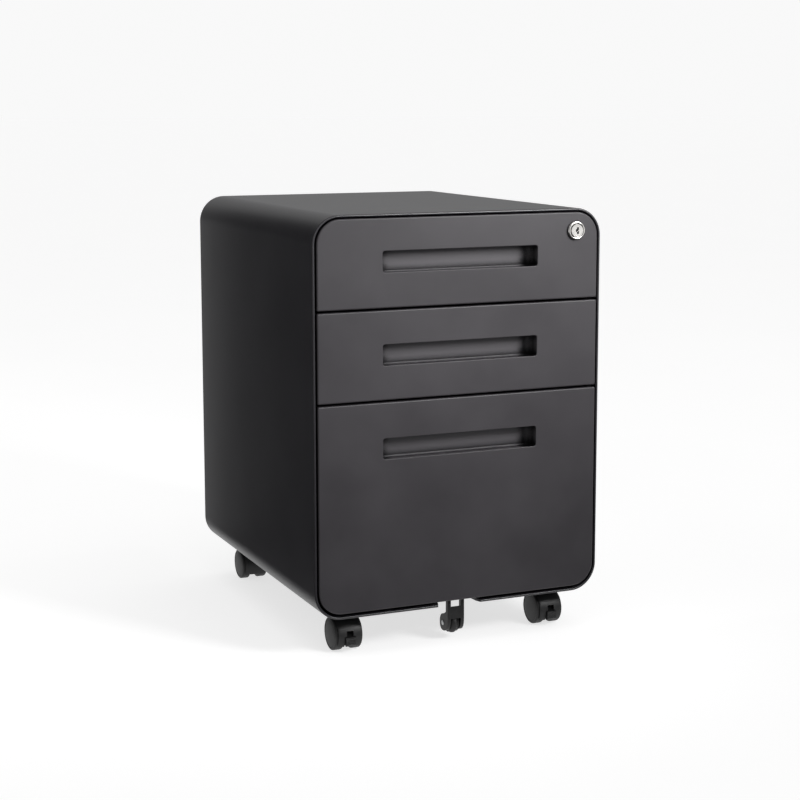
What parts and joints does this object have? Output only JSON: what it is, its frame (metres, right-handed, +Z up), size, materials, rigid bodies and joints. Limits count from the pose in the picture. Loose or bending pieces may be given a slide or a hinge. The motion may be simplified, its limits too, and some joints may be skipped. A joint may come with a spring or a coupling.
{
  "type": "filing cabinet",
  "caption": "Mobile steel pedestal cabinet: rounded wrap-around shell, recessed handle slots, drawers on full-extension slides, key lock, twin-wheel casters and an anti-tip wheel.",
  "frame": {"origin": "on the floor, under the middle of the bounding box", "axes": "+Z up, the drawers face -Y and slide out along -Y, +X is to the right of somebody facing them"},
  "size_m": [0.39, 0.456, 0.547],
  "materials": {
    "shell_paint": "satin powder coat",
    "front_paint": "satin powder coat",
    "inner_paint": "satin powder coat",
    "zinc": "bright zinc plating",
    "chrome": "polished nickel chrome",
    "black_plastic": "moulded nylon",
    "black_tread": "moulded nylon wheel"
  },
  "bodies": {
    "cabinet": {"shell_wrap": "shell_paint", "back_panel": "shell_paint", "left_side_frame": "inner_paint", "right_side_frame": "inner_paint", "front_base_beam": "inner_paint", "rear_base_beam": "inner_paint", "top_left_slide_outer": "zinc", "top_right_slide_outer": "zinc", "middle_left_slide_outer": "zinc", "middle_right_slide_outer": "zinc", "file_left_slide_outer": "zinc", "file_right_slide_outer": "zinc", "front_left_caster_stem": "zinc", "front_right_caster_stem": "zinc", "rear_left_caster_stem": "zinc", "rear_right_caster_stem": "zinc"},
    "top_drawer": {"top_drawer_front": "front_paint", "top_handle_cup": "front_paint", "top_drawer_box": "inner_paint", "top_left_slide_inner": "zinc", "top_right_slide_inner": "zinc", "lock_housing": "chrome", "lock_nut": "zinc"},
    "top_slides": {"top_left_slide_middle": "zinc", "top_right_slide_middle": "zinc"},
    "middle_drawer": {"middle_drawer_front": "front_paint", "middle_handle_cup": "front_paint", "middle_drawer_box": "inner_paint", "middle_left_slide_inner": "zinc", "middle_right_slide_inner": "zinc"},
    "middle_slides": {"middle_left_slide_middle": "zinc", "middle_right_slide_middle": "zinc"},
    "file_drawer": {"file_drawer_front": "front_paint", "file_handle_cup": "front_paint", "file_drawer_box": "inner_paint", "file_left_slide_inner": "zinc", "file_right_slide_inner": "zinc", "left_hanging_rail": "zinc", "right_hanging_rail": "zinc", "fifth_wheel_fork": "black_plastic"},
    "file_slides": {"file_left_slide_middle": "zinc", "file_right_slide_middle": "zinc"},
    "lock_plug": {"lock_plug": "chrome", "lock_cam": "zinc"},
    "lock_bar": {"lock_bar": "zinc"},
    "fifth_wheel": {"fifth_wheel": "black_tread"},
    "front_left_caster": {"front_left_caster_hood": "black_plastic"},
    "front_left_wheel_a": {"front_left_wheel_a": "black_tread"},
    "front_left_wheel_b": {"front_left_wheel_b": "black_tread"},
    "front_left_brake_lever": {"front_left_brake_lever": "black_plastic"},
    "front_right_caster": {"front_right_caster_hood": "black_plastic"},
    "front_right_wheel_a": {"front_right_wheel_a": "black_tread"},
    "front_right_wheel_b": {"front_right_wheel_b": "black_tread"},
    "front_right_brake_lever": {"front_right_brake_lever": "black_plastic"},
    "rear_left_caster": {"rear_left_caster_hood": "black_plastic"},
    "rear_left_wheel_a": {"rear_left_wheel_a": "black_tread"},
    "rear_left_wheel_b": {"rear_left_wheel_b": "black_tread"},
    "rear_right_caster": {"rear_right_caster_hood": "black_plastic"},
    "rear_right_wheel_a": {"rear_right_wheel_a": "black_tread"},
    "rear_right_wheel_b": {"rear_right_wheel_b": "black_tread"}
  },
  "joints": [
    {"name": "top_drawer_slide", "type": "slide", "parent": "cabinet", "child": "top_drawer", "axis": [0, -1, 0], "range_m": [0, 0.4]},
    {"name": "top_slides_middle_slide", "type": "slide", "parent": "cabinet", "child": "top_slides", "axis": [0, -1, 0], "range_m": [0, 0.2]},
    {"name": "middle_drawer_slide", "type": "slide", "parent": "cabinet", "child": "middle_drawer", "axis": [0, -1, 0], "range_m": [0, 0.4]},
    {"name": "middle_slides_middle_slide", "type": "slide", "parent": "cabinet", "child": "middle_slides", "axis": [0, -1, 0], "range_m": [0, 0.2]},
    {"name": "file_drawer_slide", "type": "slide", "parent": "cabinet", "child": "file_drawer", "axis": [0, -1, 0], "range_m": [0, 0.4]},
    {"name": "file_slides_middle_slide", "type": "slide", "parent": "cabinet", "child": "file_slides", "axis": [0, -1, 0], "range_m": [0, 0.2]},
    {"name": "lock_plug_turn", "type": "hinge", "parent": "top_drawer", "child": "lock_plug", "pos_m": [0.1585, -0.21, 0.519], "axis": [0, 1, 0], "range_deg": [0, 90]},
    {"name": "lock_bar_drop", "type": "slide", "parent": "cabinet", "child": "lock_bar", "axis": [0, 0, -1], "range_m": [0, 0.01273]},
    {"name": "fifth_wheel_roll", "type": "hinge", "parent": "file_drawer", "child": "fifth_wheel", "pos_m": [0, -0.195, 0.022], "axis": [1, 0, 0], "continuous": true},
    {"name": "front_left_swivel", "type": "hinge", "parent": "cabinet", "child": "front_left_caster", "pos_m": [-0.141, -0.162, 0.04], "axis": [0, 0, 1], "continuous": true},
    {"name": "front_left_wheel_a_roll", "type": "hinge", "parent": "front_left_caster", "child": "front_left_wheel_a", "pos_m": [-0.141, -0.178, 0.021], "axis": [1, 0, 0], "continuous": true},
    {"name": "front_left_wheel_b_roll", "type": "hinge", "parent": "front_left_caster", "child": "front_left_wheel_b", "pos_m": [-0.141, -0.178, 0.021], "axis": [1, 0, 0], "continuous": true},
    {"name": "front_left_brake_press", "type": "hinge", "parent": "front_left_caster", "child": "front_left_brake_lever", "pos_m": [-0.141, -0.1895, 0.024], "axis": [1, 0, 0], "range_deg": [0, 6]},
    {"name": "front_right_swivel", "type": "hinge", "parent": "cabinet", "child": "front_right_caster", "pos_m": [0.141, -0.162, 0.04], "axis": [0, 0, 1], "continuous": true},
    {"name": "front_right_wheel_a_roll", "type": "hinge", "parent": "front_right_caster", "child": "front_right_wheel_a", "pos_m": [0.141, -0.178, 0.021], "axis": [1, 0, 0], "continuous": true},
    {"name": "front_right_wheel_b_roll", "type": "hinge", "parent": "front_right_caster", "child": "front_right_wheel_b", "pos_m": [0.141, -0.178, 0.021], "axis": [1, 0, 0], "continuous": true},
    {"name": "front_right_brake_press", "type": "hinge", "parent": "front_right_caster", "child": "front_right_brake_lever", "pos_m": [0.141, -0.1895, 0.024], "axis": [1, 0, 0], "range_deg": [0, 6]},
    {"name": "rear_left_swivel", "type": "hinge", "parent": "cabinet", "child": "rear_left_caster", "pos_m": [-0.141, 0.169, 0.04], "axis": [0, 0, 1], "continuous": true},
    {"name": "rear_left_wheel_a_roll", "type": "hinge", "parent": "rear_left_caster", "child": "rear_left_wheel_a", "pos_m": [-0.141, 0.185, 0.021], "axis": [1, 0, 0], "continuous": true},
    {"name": "rear_left_wheel_b_roll", "type": "hinge", "parent": "rear_left_caster", "child": "rear_left_wheel_b", "pos_m": [-0.141, 0.185, 0.021], "axis": [1, 0, 0], "continuous": true},
    {"name": "rear_right_swivel", "type": "hinge", "parent": "cabinet", "child": "rear_right_caster", "pos_m": [0.141, 0.169, 0.04], "axis": [0, 0, 1], "continuous": true},
    {"name": "rear_right_wheel_a_roll", "type": "hinge", "parent": "rear_right_caster", "child": "rear_right_wheel_a", "pos_m": [0.141, 0.185, 0.021], "axis": [1, 0, 0], "continuous": true},
    {"name": "rear_right_wheel_b_roll", "type": "hinge", "parent": "rear_right_caster", "child": "rear_right_wheel_b", "pos_m": [0.141, 0.185, 0.021], "axis": [1, 0, 0], "continuous": true}
  ],
  "couplings": [
    {"joint": "top_slides_middle_slide", "follows": "top_drawer_slide", "ratio": 0.5},
    {"joint": "middle_slides_middle_slide", "follows": "middle_drawer_slide", "ratio": 0.5},
    {"joint": "file_slides_middle_slide", "follows": "file_drawer_slide", "ratio": 0.5},
    {"joint": "lock_plug_turn", "follows": "lock_bar_drop", "rad_per_m": 123.39}
  ]
}
